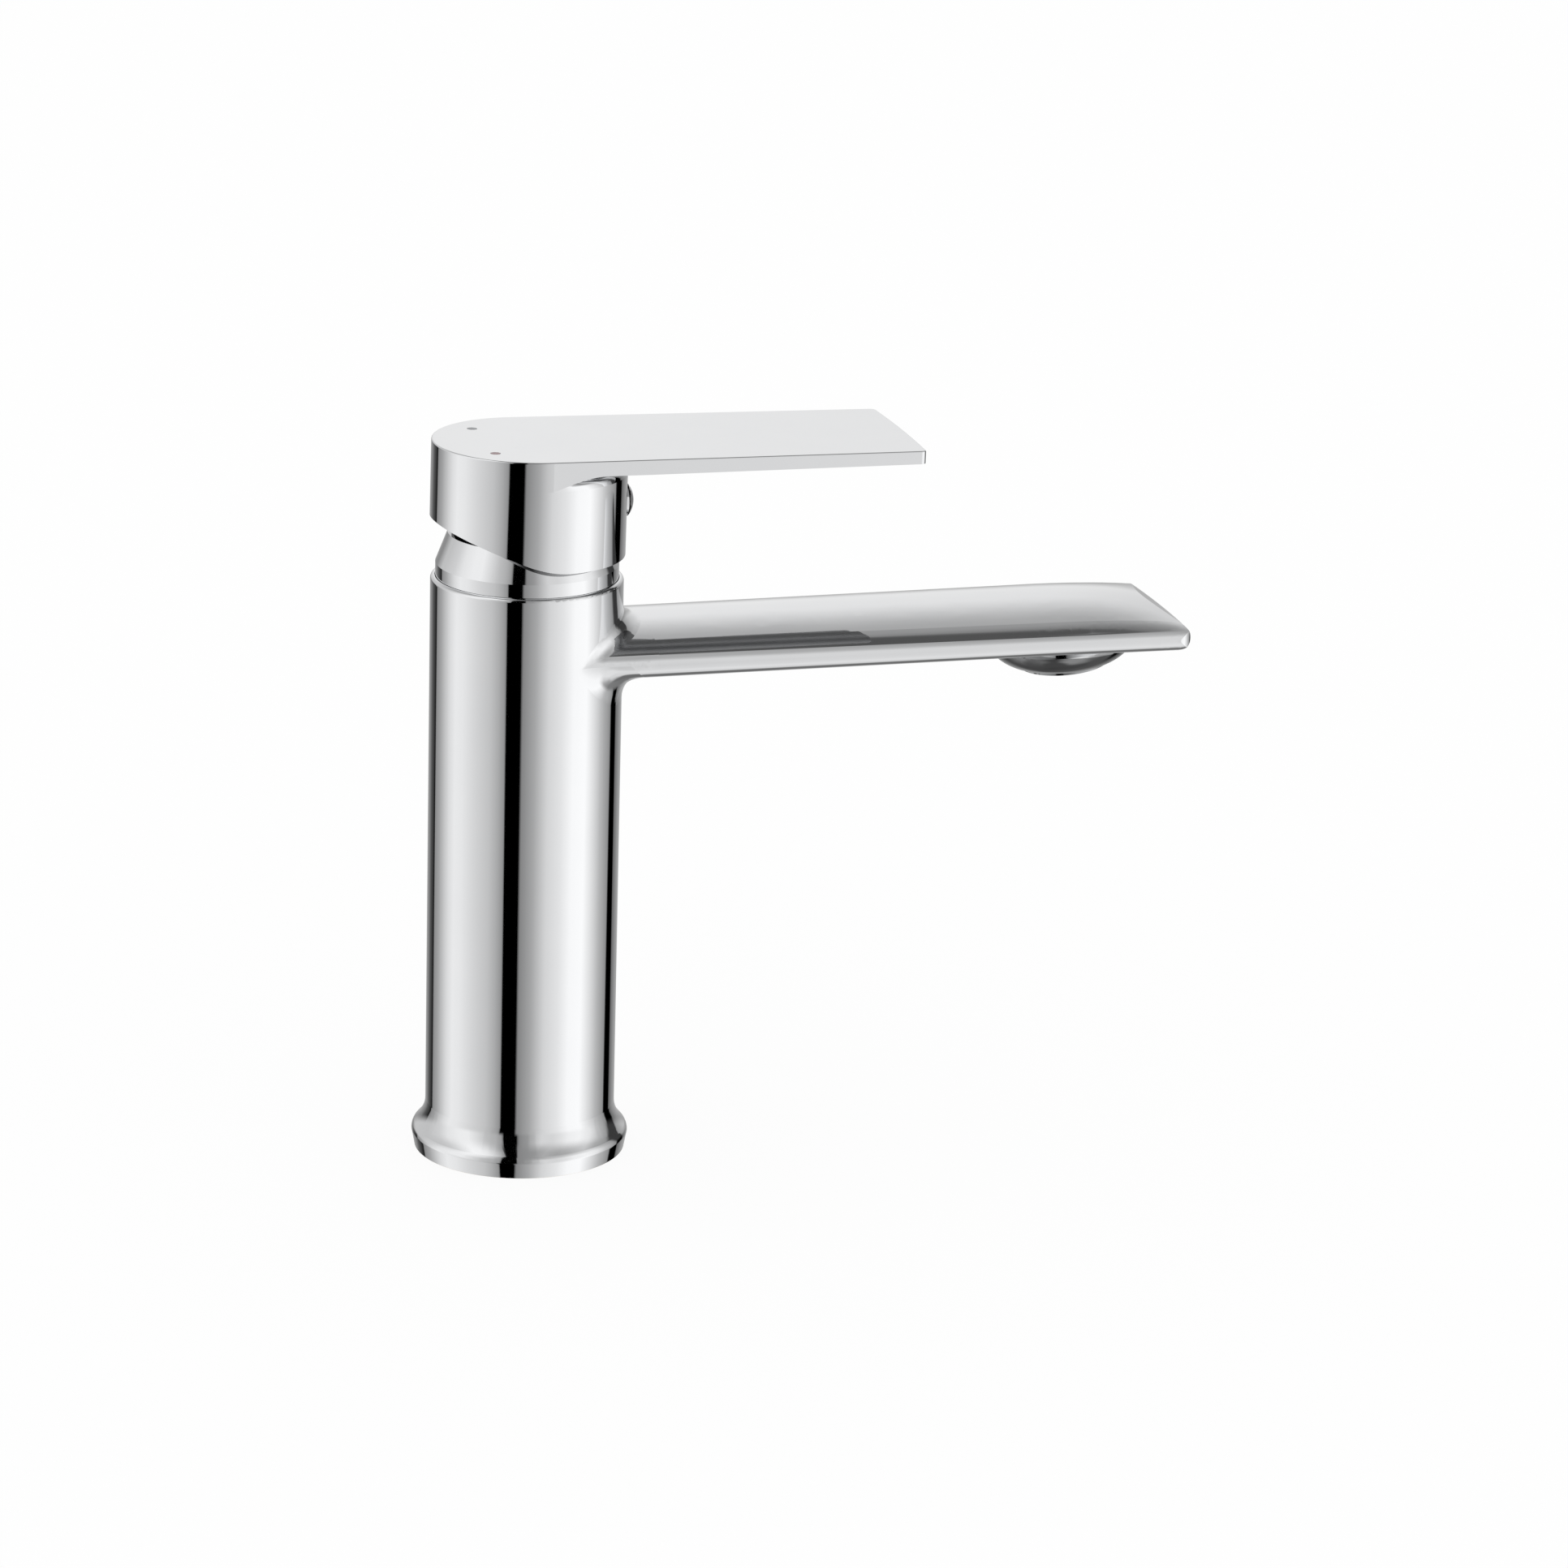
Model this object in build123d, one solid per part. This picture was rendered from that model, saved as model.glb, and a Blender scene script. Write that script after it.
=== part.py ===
"""Single-lever basin mixer: a cast column with a fixed spout, a ceramic cartridge and a flat lever.

Millimetres. The origin is on the column axis at deck level, +Z is up and +X points along the spout.
The hot side is -Y, which is on the left of somebody who stands in front of the spout.
"""
from build123d import *
from math import asin, atan, cos, radians, sin, tan
import os

# ------------------------------------------------------------------ driving dimensions
# cartridge
cartridge_r = 17.5          # housing flange, a standard 35 mm cartridge
flange_step = 1.0           # the housing is this much slimmer above its flange
housing_wall = 1.4
neck_step = 2.3             # from the upper housing to its neck
neck_wall = 1.15
water_gap = 0.9             # ring of water between housing and body
slide_fit = 0.05            # radial clearance of parts that turn or slide in one another
loose_fit = 0.2             # radial clearance of parts that only have to go together
base_plate = 3.0
fixed_disc_t = 4.0
moving_disc_t = 3.5
carrier_plate_t = 3.5
carrier_collar_t = 5.5
flange_height = 8.0         # housing flange, from its lower edge to the shoulder for the nut
inlet_x, inlet_y = 3.5, 5.5
inlet_r = 2.6
outlet_x, outlet_r = -7.0, 3.0
pocket_x, pocket_r = -3.2, 6.3      # mixing pocket, from the middle of the moving disc
seal_groove = 2.0
seal_width = 1.9
peg_r, peg_length = 2.0, 2.5
peg_angle = 110.0
# column and foot
body_height = 140.3         # deck to rim
seat_depth = 20.3           # rim to the seat of the cartridge
seat_block = 14.0           # height of the inlet block
ledge_width, ledge_height = 1.0, 3.0
key_r, key_length = 1.5, 2.0
nut_wall = 2.25
rim_wall = 3.5
column_wall = 3.3
rim_round = 0.9
recess_depth = 2.0          # step in the rim for the shroud
recess_wall = 1.0
foot_flare = 3.25           # foot radius less column radius
foot_lip = 3.7              # height of the foot's widest line
foot_undercut = 0.7
foot_round = 2.2            # the shoulder turns over with this radius
foot_turn = 46.0            # and up to this angle, where the hollow towards the column begins
foot_edge = 0.8             # rounding of the widest line
gasket_width, gasket_height = 2.6, 2.2
hose_thread_r = 4.6         # M10 x 1, at the crests of the thread
hose_thread_depth = 10.0
hose_y = 7.2                # hoses stand a little further apart than the inlets
stud_thread_r = 3.4         # M8, at the crests of the thread
stud_thread_depth = 14.0
stud_boss_r = 6.5
stud_boss_lift = 2.0        # foot of the boss above the deck
# spout
spout_reach = 132.3         # column axis to aerator
spout_nose = 24.9           # aerator to tip
spout_inset = 2.3           # column radius less half the spout's width at the root
spout_drop = 20.3           # rim to the underside of the spout
side_round = 2.9            # radius of the rounded long edges
side_angle = 48.0           # they turn this far above level and meet the crown there
shoulder_round = 11.0       # the crown turns down with this radius towards its creases
shoulder_slope = 17.0       # slope of the crown where that turn begins
fade_length = 30.2          # length over which the crown runs out
spout_spread = 2.7          # each side stands this much wider at the tip
tip_arc = 400.0             # radius of the tip in plan
tip_corner = 4.0            # radius of the tip's corners in plan
root_sweep = 20.0           # hollow radius, in plan, that leads the column into the spout's sides
root_meet = 6.0             # angle left between the spout's side and the column where they meet
root_fillet_top = 4.2
root_fillet_low = 8.0       # the hollow under the spout is the larger one
root_deepening = 1.0        # the underside falls by this much from the run-out to the column's axis
root_step = 2.0             # distance between the stations of the root
joint_x = 27.0              # brazed joint, where the spout is let into the root
tenon_wall, tenon_length = 0.8, 3.0
waterway_h, waterway_half = 5.0, 13.0
aerator_tilt = 6.5          # the stream leans forward by this much
bowl_top_r, bowl_r, bowl_depth = 18.2, 12.0, 6.6
aerator_thread_r = 10.6
aerator_depth = 8.0
aerator_rim_r = 10.7
aerator_rim = 0.9
core_drop = 0.35            # the core stands this far below the bowl
sleeve_wall = 1.1
# nut and shroud
nut_rise = 5.7              # top of the nut above the rim
nut_flats = 35.0
shroud_wall = 1.3
shroud_ring = 0.6
shroud_band = 3.2           # straight part above the rim
shroud_rise = 10.9          # top of the shroud above the rim
shroud_lean = 21.1
# lever mechanism
pivot_rise = 9.7            # lever pivot above the rim
stem_arm = 12.0             # pivot to the ball of the stem
pin_r = 1.25
ball_r = 3.0
stem_x, stem_y = 8.0, 7.0
stem_top = 16.0             # above the pivot
turret_top = 1.9            # above the pivot
turret_flange = 1.1         # keeps the turret under the neck
ring_groove = 2.0           # height of the O-rings' grooves
ring_floor = 1.15           # and their depth below the cartridge's flange
lift_angle = 22.0
# handle
handle_overhang = 0.3       # handle radius less column radius
handle_top = 22.5           # above the pivot
lever_length = 89.3
lever_taper = 1.2
lever_root_t, lever_tip_t = 3.5, 3.05
lever_edge = 0.35
lever_corner = 1.4
lever_droop = 0.7           # the closed lever hangs by this angle
skirt_wall = 1.4            # at the lower edge
skirt_draft = 1.1           # extra wall further up
skirt_gap = 5.8             # rim to the front of the skirt
skirt_cut = 20.0            # slope of the skirt's lower edge at the rear
skirt_bend = 32.0
skirt_fillet = 3.4
roof = 4.6
socket_r = 6.5
screw_r, screw_length = 2.5, 9.5
screw_drop = 14.8           # handle top to the set screw
plug_r, plug_rim, plug_dome, plug_seat = 3.9, 0.9, 1.2, 2.2
dot_r, dot_depth = 1.15, 0.6
dot_x, dot_y = -11.0, 12.15

# ------------------------------------------------------------------ sizes that follow
housing_r = cartridge_r - flange_step
cavity_r = housing_r - housing_wall
neck_r = housing_r - neck_step
turret_r = neck_r - neck_wall - slide_fit
cup_r = cartridge_r + water_gap
ring_seat_r = cartridge_r - ring_floor
nut_bore_r = housing_r + loose_fit
nut_r = nut_bore_r + nut_wall
thread_r = nut_r + slide_fit
column_r = thread_r + rim_wall
cavity_bottom_r = column_r - column_wall
recess_r = column_r - recess_wall
shroud_r = recess_r - 0.15
foot_r = column_r + foot_flare
foot_bottom_r = foot_r - foot_undercut
spout_tip = spout_reach + spout_nose
fade_x = spout_tip + 0.4 - fade_length
beam_end = fade_x - 0.3 * fade_length
handle_r = column_r + handle_overhang
lever_half = handle_r - lever_taper
skirt_r = handle_r - skirt_wall

rim_z = body_height
seat_z = rim_z - seat_depth
block_z = seat_z - seat_block
block_ring_z = block_z + 6.5
key_x = key_r + 0.4 - cup_r
stud_x = stud_boss_r - cavity_bottom_r
under_z = rim_z - spout_drop
crease_z = under_z + side_round * (1 + sin(radians(side_angle)))
pivot_z = rim_z + pivot_rise
ball_z = pivot_z - stem_arm
top_z = pivot_z + handle_top
screw_z = top_z - screw_drop
disc_z = seat_z + base_plate
moving_z = disc_z + fixed_disc_t
carrier_z = moving_z + moving_disc_t
collar_z = carrier_z + carrier_plate_t
collar_top_z = collar_z + carrier_collar_t
shoulder_z = disc_z + flange_height
turret_z = collar_top_z + 0.4
cavity_top_z = turret_z + turret_flange + 0.05
housing_top_z = cavity_top_z + housing_wall
neck_top_z = pivot_z + 0.6
housing_ring_z = shoulder_z - 1.2 - ring_groove
ring_z = rim_z - recess_depth
shroud_z = ring_z + shroud_ring
shroud_top_z = rim_z + shroud_rise
disc_travel = stem_arm * sin(radians(lift_angle))
moving_r = cavity_r - disc_travel / 2 - 1.0


HANGING = (Align.CENTER, Align.CENTER, Align.MAX)


def ring(outer, inner, z, height):
    """A flat ring that stands on the level z."""
    return Pos(0, 0, z) * extrude(Circle(outer) - Circle(inner), height)


def rod(radius, z, height, x=0.0, y=0.0):
    """An upright cylinder that stands on the level z."""
    return Pos(x, y, z) * extrude(Circle(radius), height)


def block(x0, x1, half_y, z0, z1):
    """A block between two stations, even about the middle plane."""
    return Pos((x0 + x1) / 2, 0, (z0 + z1) / 2) * Box(x1 - x0, 2 * half_y, z1 - z0)


def turned(*corners):
    """A turned part from the (radius, height) corners of its outline."""
    return revolve(Plane.XZ * make_face(Polyline(*corners, close=True)), Axis.Z)


def cross_rod(radius, x0, x1, z):
    """A cylinder along X in the middle plane."""
    return Pos((x0 + x1) / 2, 0, z) * Rot(0, 90, 0) * Cylinder(radius, x1 - x0)


# ------------------------------------------------------------------ body
def column_blank():
    """Foot and column, still solid: an undercut lip, a round shoulder, a hollow and a rounded rim."""
    lip = Line((foot_bottom_r, 0), (foot_r, foot_lip))
    shoulder = CenterArc((foot_r - foot_round, foot_lip), foot_round, 0, foot_turn)
    start = shoulder @ 1
    hollow_r = (start.X - column_r) / (1 - cos(radians(foot_turn)))
    centre = (column_r + hollow_r, start.Y + hollow_r * sin(radians(foot_turn)))
    hollow = CenterArc(centre, hollow_r, 180 + foot_turn, -foot_turn)
    wall = Line(hollow @ 1, (column_r, rim_z - rim_round))
    edge = RadiusArc(wall @ 1, (column_r - rim_round, rim_z), -rim_round)
    close = Polyline(edge @ 1, (0, rim_z), (0, 0), (foot_bottom_r, 0))
    outline = make_face([lip, shoulder, hollow, wall, edge, close])
    widest = outline.vertices().sort_by(Axis.X)[-1]
    return revolve(Plane.XZ * fillet(widest, foot_edge), Axis.Z)


def crown_points(crease_y):
    """Half of the crown's outline: crease, middle of the turn, shoulder and ridge."""
    steep, flat = radians(90 - side_angle), radians(shoulder_slope)

    def on_turn(angle):
        return (crease_y - shoulder_round * (sin(steep) - sin(angle)),
                crease_z + shoulder_round * (cos(angle) - cos(steep)))

    shoulder = on_turn(flat)
    ridge = shoulder[1] + shoulder[0] * (1 - cos(flat)) / sin(flat)
    return (crease_y, crease_z), on_turn((steep + flat) / 2), shoulder, (0, ridge)


def spout_half(x):
    """Half of the spout's width: a straight taper that a hollow arc joins to the column, in plan."""
    base, taper = column_r - spout_inset, atan(spout_spread / spout_tip)
    meet = radians(root_meet)
    reach = (column_r ** 2 + root_sweep ** 2 + 2 * column_r * root_sweep * cos(meet)) ** 0.5
    bearing = taper + asin((base * cos(taper) + root_sweep) / reach)
    centre_x, centre_y = reach * cos(bearing), reach * sin(bearing)
    start = bearing - asin(root_sweep * sin(meet) / reach)
    start_x = column_r * cos(start)
    if x > centre_x + root_sweep * sin(taper):
        return base + x * tan(taper)
    if x > start_x:
        return centre_y - (root_sweep ** 2 - (x - centre_x) ** 2) ** 0.5
    return column_r * sin(start) - (x - start_x) / tan(start + meet)


def spout_section(x, crown):
    """Cross-section at a station: flat underside, round long edges and a crown that runs into them."""
    half = spout_half(x)
    low_z = under_z - root_deepening * max(0, 1 - x / beam_end)
    side_r = (crease_z - low_z) / (1 + sin(radians(side_angle)))
    flat_y = half - side_r
    right = [(y, crease_z + crown * (z - crease_z))
             for y, z in crown_points(flat_y + side_r * cos(radians(side_angle)))]
    left = [(-y, z) for y, z in right]
    edges = [Line((-flat_y, low_z), (flat_y, low_z)),
             ThreePointArc((flat_y, low_z), (half, low_z + side_r), right[0]),
             ThreePointArc(*right[:3]),
             ThreePointArc(right[2], right[3], left[2]),
             ThreePointArc(left[2], left[1], left[0]),
             ThreePointArc(left[0], (-half, low_z + side_r), (-flat_y, low_z))]
    return Plane(origin=(x, 0, 0), x_dir=(0, 1, 0), z_dir=(1, 0, 0)) * make_face(edges)


def tip_plan():
    """Tall block that rounds the two corners of the tip."""
    start, near, far = 0.6 * spout_tip, spout_half(0.6 * spout_tip) + 0.01, spout_half(spout_tip) + 0.01
    sides = [Line((start, side * near), (spout_tip - 0.1, side * far)) for side in (-1, 1)]
    tip = ThreePointArc(sides[0] @ 1, (spout_tip + far ** 2 / (2 * tip_arc), 0), sides[1] @ 1)
    plan = make_face([sides[0], tip, sides[1], Line(sides[1] @ 0, sides[0] @ 0)])
    corners = [v for v in plan.vertices() if v.X > 0.8 * spout_tip]
    return Pos(0, 0, under_z - 5) * extrude(fillet(corners, tip_corner), 40)


def spout_root():
    """Short stretch that grows out of the column, up to the brazed joint."""
    count = int((joint_x - 0.2 * column_r) / root_step)
    return loft([spout_section(joint_x - root_step * i, 1) for i in range(count, -1, -1)])


def spout_blank():
    """Straight crowned beam whose crown runs out in a quarter ellipse, trimmed to the curved nose."""
    beam = loft([spout_section(joint_x, 1), spout_section(beam_end, 1)], ruled=True)
    run = [0.98] + [0.9 - 0.1 * i for i in range(13)]
    run_out = loft([spout_section(fade_x + fade_length * f, (1 - max(f, 0) ** 2) ** 0.5) for f in run])
    nose_length, nose_mid = 6.0, under_z + side_round
    lower = EllipticalCenterArc((tip_arc - nose_length, nose_mid), nose_length, side_round + 0.3,
                                start_angle=-90, arc_size=90)
    upper = EllipticalCenterArc((tip_arc - 2.6, nose_mid), 2.6, 3.4, start_angle=0, arc_size=75)
    back = tip_arc - 2 * fade_length
    frame = Polyline(upper @ 1, (back, (upper @ 1).Y + fade_length), (back, (lower @ 0).Y), lower @ 0)
    disc = Rot(0, 0, -15) * revolve(Plane.XZ * make_face([lower, upper, frame]), Axis.Z, 30)
    return beam + (run_out & Pos(spout_tip - tip_arc, 0, 0) * disc & tip_plan())


def root_edges(solid):
    """Edges where the spout leaves the column."""
    found = []
    for edge in solid.edges():
        middle = edge.position_at(0.5)
        on_wall = abs((middle.X ** 2 + middle.Y ** 2) ** 0.5 - column_r) < 0.01
        if on_wall and middle.X > 1 and under_z - 2 < middle.Z < ring_z:
            found.append(edge)
    return found


def brass_blank():
    """Column and spout as one shape, with a larger hollow under the spout than above it."""
    solid = column_blank() + spout_root() + spout_blank()
    edges, middle_z = root_edges(solid), under_z + side_round
    above = block(-2 * column_r, 2 * spout_tip, 2 * foot_r, middle_z, rim_z + 1)
    upper = fillet(edges, root_fillet_top) & above
    return upper + (fillet(edges, root_fillet_low) - above)


def on_aerator_axis(shape):
    """Places a shape whose +Z is the aerator's axis and whose origin is on the bowl's lower face."""
    return Pos(spout_reach, 0, under_z - bowl_depth) * Rot(0, -aerator_tilt, 0) * shape


def aerator_bowl():
    """Bowl-shaped boss under the spout, round the aerator."""
    middle = (0.5 * (bowl_r + bowl_top_r) + 0.9, 0.36 * bowl_depth)
    side = ThreePointArc((bowl_r, 0), middle, (bowl_top_r, bowl_depth - 1.0))
    top = bowl_depth + 2.4
    rest = Polyline(side @ 1, (bowl_top_r - 2.2, top), (0, top), (0, 0), (bowl_r, 0))
    bowl = on_aerator_axis(revolve(Plane.XZ * make_face([side, rest]), Axis.Z))
    return bowl & block(0, 2 * spout_tip, 2 * bowl_top_r, 0, under_z + 1)


def passage(x0, x1, wall=0.0):
    """The flat waterway between two stations, or with a wall the tenon round it."""
    height = waterway_h + 2 * wall
    section = Plane(origin=(x0, 0, under_z + 2.2 + waterway_h / 2), x_dir=(0, 1, 0), z_dir=(1, 0, 0))
    return extrude(section * RectangleRounded(2 * (waterway_half + wall), height, height / 2 - 0.2), x1 - x0)


def stud_boss():
    """Boss for the mounting stud, against the rear wall inside the column."""
    height = stud_thread_depth + 6
    web = block(-cavity_bottom_r - 0.5, stud_x, stud_boss_r, stud_boss_lift, stud_boss_lift + height)
    boss = rod(stud_boss_r, stud_boss_lift, height, stud_x) + web
    return boss & rod(cavity_bottom_r + 0.5, 0, body_height)


def beyond_joint():
    """Room of the spout past the brazed joint. It stays above the foot, which may be wider than the joint."""
    return block(joint_x, 2 * spout_tip, 2 * foot_r, under_z - 2 * root_fillet_low, rim_z + 1)


def make_body():
    """Column with the root of the spout, bored for the inlet block, the cartridge and its nut."""
    solid = brass_blank() - beyond_joint()
    solid -= rod(cavity_bottom_r, -1, block_z - ledge_height + 1)
    solid -= rod(cup_r - ledge_width, 0, block_z + 1)
    solid -= rod(cup_r, block_z, shoulder_z - 0.4 - block_z)
    solid -= rod(thread_r, shoulder_z - 0.4, rim_z)
    solid -= rod(recess_r, ring_z, rim_z)
    solid -= rod(key_r + slide_fit, block_z - ledge_height - 1, ledge_height + 2, key_x)
    solid -= ring(foot_bottom_r - 1.0, foot_bottom_r - 1.0 - gasket_width, -1, gasket_height + 1)
    solid -= passage(cup_r - 2, joint_x + 1)
    solid -= passage(joint_x - tenon_length, joint_x + 1, tenon_wall + slide_fit)
    solid += stud_boss()
    return solid - rod(stud_thread_r, stud_boss_lift - 1, stud_thread_depth + 1, stud_x)


def make_spout():
    """Flat spout with a tenon at its root and the threaded bowl for the aerator."""
    solid = brass_blank() & beyond_joint()
    solid += aerator_bowl() + passage(joint_x - tenon_length, joint_x + 1, tenon_wall)
    solid -= passage(joint_x - tenon_length - 1, spout_reach + 2)
    return solid - on_aerator_axis(rod(aerator_thread_r, -1, aerator_depth + 1))


def make_inlet_block():
    """Brass block on the ledge of the column: hose threads below, passages to the cartridge above."""
    solid = rod(cup_r - slide_fit, block_z, seat_block)
    solid += rod(key_r, block_z - key_length, key_length + 1, key_x)
    solid -= ring(cup_r + 1, ring_seat_r, block_ring_z, ring_groove)
    for side in (-1, 1):
        solid -= rod(hose_thread_r, block_z - 1, hose_thread_depth + 1, inlet_x, side * hose_y)
        solid -= rod(inlet_r, block_z, seat_block + 1, inlet_x, side * inlet_y)
    for x, y in peg_places():
        solid -= rod(peg_r + slide_fit, seat_z - peg_length - 0.5, peg_length + 1, x, y)
    return solid


def o_ring(z):
    """Rubber ring squeezed between the bore and the floor of a groove that starts at the level z."""
    width = cup_r - ring_seat_r
    torus = Pos(0, 0, z + ring_groove / 2) * Torus(cup_r - width / 2, width / 2 - slide_fit / 2)
    return torus & ring(cup_r + 1, 1, z + slide_fit, ring_groove - 2 * slide_fit)


def make_base_gasket():
    outer = foot_bottom_r - 1.0 - slide_fit
    return ring(outer, outer - gasket_width + 2 * slide_fit, 0, gasket_height)


# ------------------------------------------------------------------ cartridge
def peg_places():
    radius = cartridge_r - peg_r - 1.2
    angle = radians(peg_angle)
    return [(radius * cos(angle), side * radius * sin(angle)) for side in (-1, 1)]


def inlet_places():
    return [(inlet_x, -inlet_y), (inlet_x, inlet_y)]


def make_cartridge_base():
    """Plate with two sealed inlets, an open outlet channel and two locating pegs."""
    plate = rod(cartridge_r - 0.1, seat_z, base_plate)
    rim = ring(cavity_r - slide_fit, cavity_r - 1.2, disc_z, 0.9)
    plate += rim
    for x, y in inlet_places():
        plate -= rod(inlet_r, seat_z - 1, base_plate + 2, x, y)
        plate -= rod(inlet_r + seal_width, seat_z - 1, seal_groove + 1, x, y)
    plate -= rod(outlet_r, seat_z - 1, base_plate + 2, outlet_x)
    plate -= block(-2 * cartridge_r, outlet_x, outlet_r, seat_z - 1, seat_z + base_plate - 1)
    for x, y in peg_places():
        plate += rod(peg_r, seat_z - peg_length, peg_length + 1, x, y)
    return plate


def make_cartridge_seals():
    """Two rubber rings under the inlets of the base."""
    seal = ring(inlet_r + seal_width - slide_fit, inlet_r, seat_z, seal_groove)
    return Compound([Pos(x, y, 0) * seal.solid() for x, y in inlet_places()])


def make_fixed_disc():
    """Ceramic disc with two inlet ports and one outlet port."""
    disc = rod(cavity_r - 1.25, disc_z, fixed_disc_t)
    for x, y in inlet_places():
        disc -= rod(inlet_r, disc_z - 1, fixed_disc_t + 2, x, y)
    return disc - rod(outlet_r, disc_z - 1, fixed_disc_t + 2, outlet_x)


def make_moving_disc():
    """Ceramic disc with a mixing pocket in its lower face, drawn in its closed place."""
    disc = rod(moving_r, moving_z, moving_disc_t, -disc_travel / 2)
    return disc - rod(pocket_r, moving_z - 1, moving_disc_t / 2 + 1, pocket_x - disc_travel / 2)


def make_disc_carrier():
    """Slider on the moving disc: its collar takes the ball of the stem."""
    ball_x = -stem_arm * sin(radians(lever_droop))
    plate = rod(moving_r, carrier_z, carrier_plate_t, -disc_travel / 2)
    collar = rod(ball_r + 3.0, collar_z, carrier_collar_t, ball_x)
    socket = rod(ball_r + slide_fit, ball_z - ball_r - 0.3, 2 * ball_r + carrier_collar_t, ball_x)
    mouth = Pos(ball_x, 0, collar_top_z) * Cone(ball_r, ball_r + 1.4, 1.6, align=HANGING)
    return plate + collar - socket - mouth


def make_cartridge_housing():
    """Stepped shell: grooved flange, upper part inside the nut, and the neck round the turret."""
    shell = turned((cavity_r, disc_z), (cartridge_r, disc_z), (cartridge_r, shoulder_z),
                   (housing_r, shoulder_z), (housing_r, housing_top_z), (neck_r, housing_top_z),
                   (neck_r, neck_top_z),
                   (turret_r + slide_fit, neck_top_z), (turret_r + slide_fit, cavity_top_z),
                   (cavity_r, cavity_top_z))
    return shell - ring(cartridge_r + 1, ring_seat_r, housing_ring_z, ring_groove)


def make_stem_carrier():
    """Turret that turns in the neck, with a slot for the stem and a cross hole for its pin."""
    flange_r, flange_z, head_z = turret_r + neck_wall, turret_z + turret_flange, pivot_z + turret_top
    turret = turned((0, turret_z), (flange_r, turret_z), (flange_r, flange_z), (turret_r, flange_z),
                    (turret_r, head_z - 1.2), (turret_r - 1.2, head_z), (0, head_z))
    swing = tan(radians(lift_angle))
    low = (pivot_z - turret_z) * swing
    slot_x, slot_y = stem_x / 2 + 1.6, stem_y / 2 + slide_fit
    turret -= block(-slot_x, stem_x / 2 + low + 0.8, slot_y, turret_z - 1, pivot_z - 1)
    turret -= block(-slot_x, slot_x, slot_y, pivot_z - 1.5, top_z)
    hole = Pos(0, 0, pivot_z) * Rot(90, 0, 0) * Cylinder(pin_r + slide_fit / 2, 3 * turret_r)
    return turret - hole


def make_stem_pin():
    return Pos(0, 0, pivot_z) * Rot(90, 0, 0) * Cylinder(pin_r, 2 * turret_r - 1.0)


def hung(shape):
    """Turns a piece of the lever down about the pivot to where it hangs when closed."""
    return Pos(0, 0, pivot_z) * Rot(0, lever_droop, 0) * Pos(0, 0, -pivot_z) * shape


def make_stem():
    """Square lever with a ball at its lower end."""
    bar_z = pivot_z - stem_arm / 2
    bar = block(-stem_x / 2, stem_x / 2, stem_y / 2, bar_z, pivot_z + stem_top)
    bar = chamfer(bar.edges().filter_by(Axis.Z), 0.6)
    bar = chamfer(bar.faces().sort_by(Axis.Z)[-1].edges(), 0.8)
    neck = Pos(0, 0, bar_z) * Cone(0.62 * ball_r, stem_y / 2, 1.8, align=HANGING)
    neck += rod(0.62 * ball_r, ball_z, bar_z - ball_z - 1.0)
    stem = bar + neck + Pos(0, 0, ball_z) * Sphere(ball_r)
    hole = Pos(0, 0, pivot_z) * Rot(90, 0, 0) * Cylinder(pin_r + slide_fit / 2, 2 * stem_y)
    return hung(stem - hole)


# ------------------------------------------------------------------ nut and shroud
def make_retaining_nut():
    """Threaded tube with a hexagon: it presses the housing flange down on its seat."""
    flats = extrude(RegularPolygon(nut_flats / 2, 6, major_radius=False), nut_rise - 1.7)
    head = Pos(0, 0, rim_z + 1.7) * flats & rod(nut_r, rim_z, nut_rise)
    nut = rod(nut_r, shoulder_z, rim_z + 1.7 - shoulder_z) + head
    nut -= rod(nut_bore_r, shoulder_z - 1, housing_top_z + 0.4 - shoulder_z + 1)
    return nut - rod(neck_r + loose_fit, shoulder_z, 2 * nut_rise + body_height)


def make_shroud_ring():
    return ring(recess_r - slide_fit, thread_r + loose_fit, ring_z, shroud_ring)


def make_shroud():
    """Cone that hides the nut, screwed on the upper turns of its thread."""
    lean = tan(radians(shroud_lean))
    band_z = rim_z + shroud_band
    top_r = shroud_r - (shroud_top_z - band_z) * lean
    outside = turned((0, shroud_z), (shroud_r, shroud_z), (shroud_r, band_z),
                     (top_r + 0.5 * lean, shroud_top_z - 0.5), (top_r - 0.4, shroud_top_z), (0, shroud_top_z))
    inner_r = shroud_r - shroud_wall
    lip_z = shroud_top_z - shroud_wall
    inside = turned((0, rim_z + 1.7), (inner_r, rim_z + 1.7), (inner_r, band_z),
                    (inner_r - (lip_z - band_z) * lean, lip_z), (0, lip_z))
    thread = rod(thread_r, shroud_z - 1, rim_z + 3 - shroud_z)
    return outside - inside - thread - rod(neck_r + 0.4, rim_z, 3 * nut_rise)


# ------------------------------------------------------------------ handle
def lever_plan():
    """Seen from above: round at the rear, sides that leave it smoothly and taper, a tip of large radius."""
    turn = asin((handle_r - lever_half) / lever_length)
    leave = (handle_r * sin(turn), handle_r * cos(turn))
    sides = [Line((leave[0], side * leave[1]), (lever_length, side * lever_half)) for side in (-1, 1)]
    tip = ThreePointArc(sides[0] @ 1, (lever_length + 0.55, 0), sides[1] @ 1)
    rear = ThreePointArc(sides[0] @ 0, (-handle_r, 0), sides[1] @ 0)
    face = make_face([sides[0], tip, sides[1], rear])
    corners = [v for v in face.vertices() if v.X > lever_length - 1]
    return fillet(corners, lever_corner)


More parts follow.
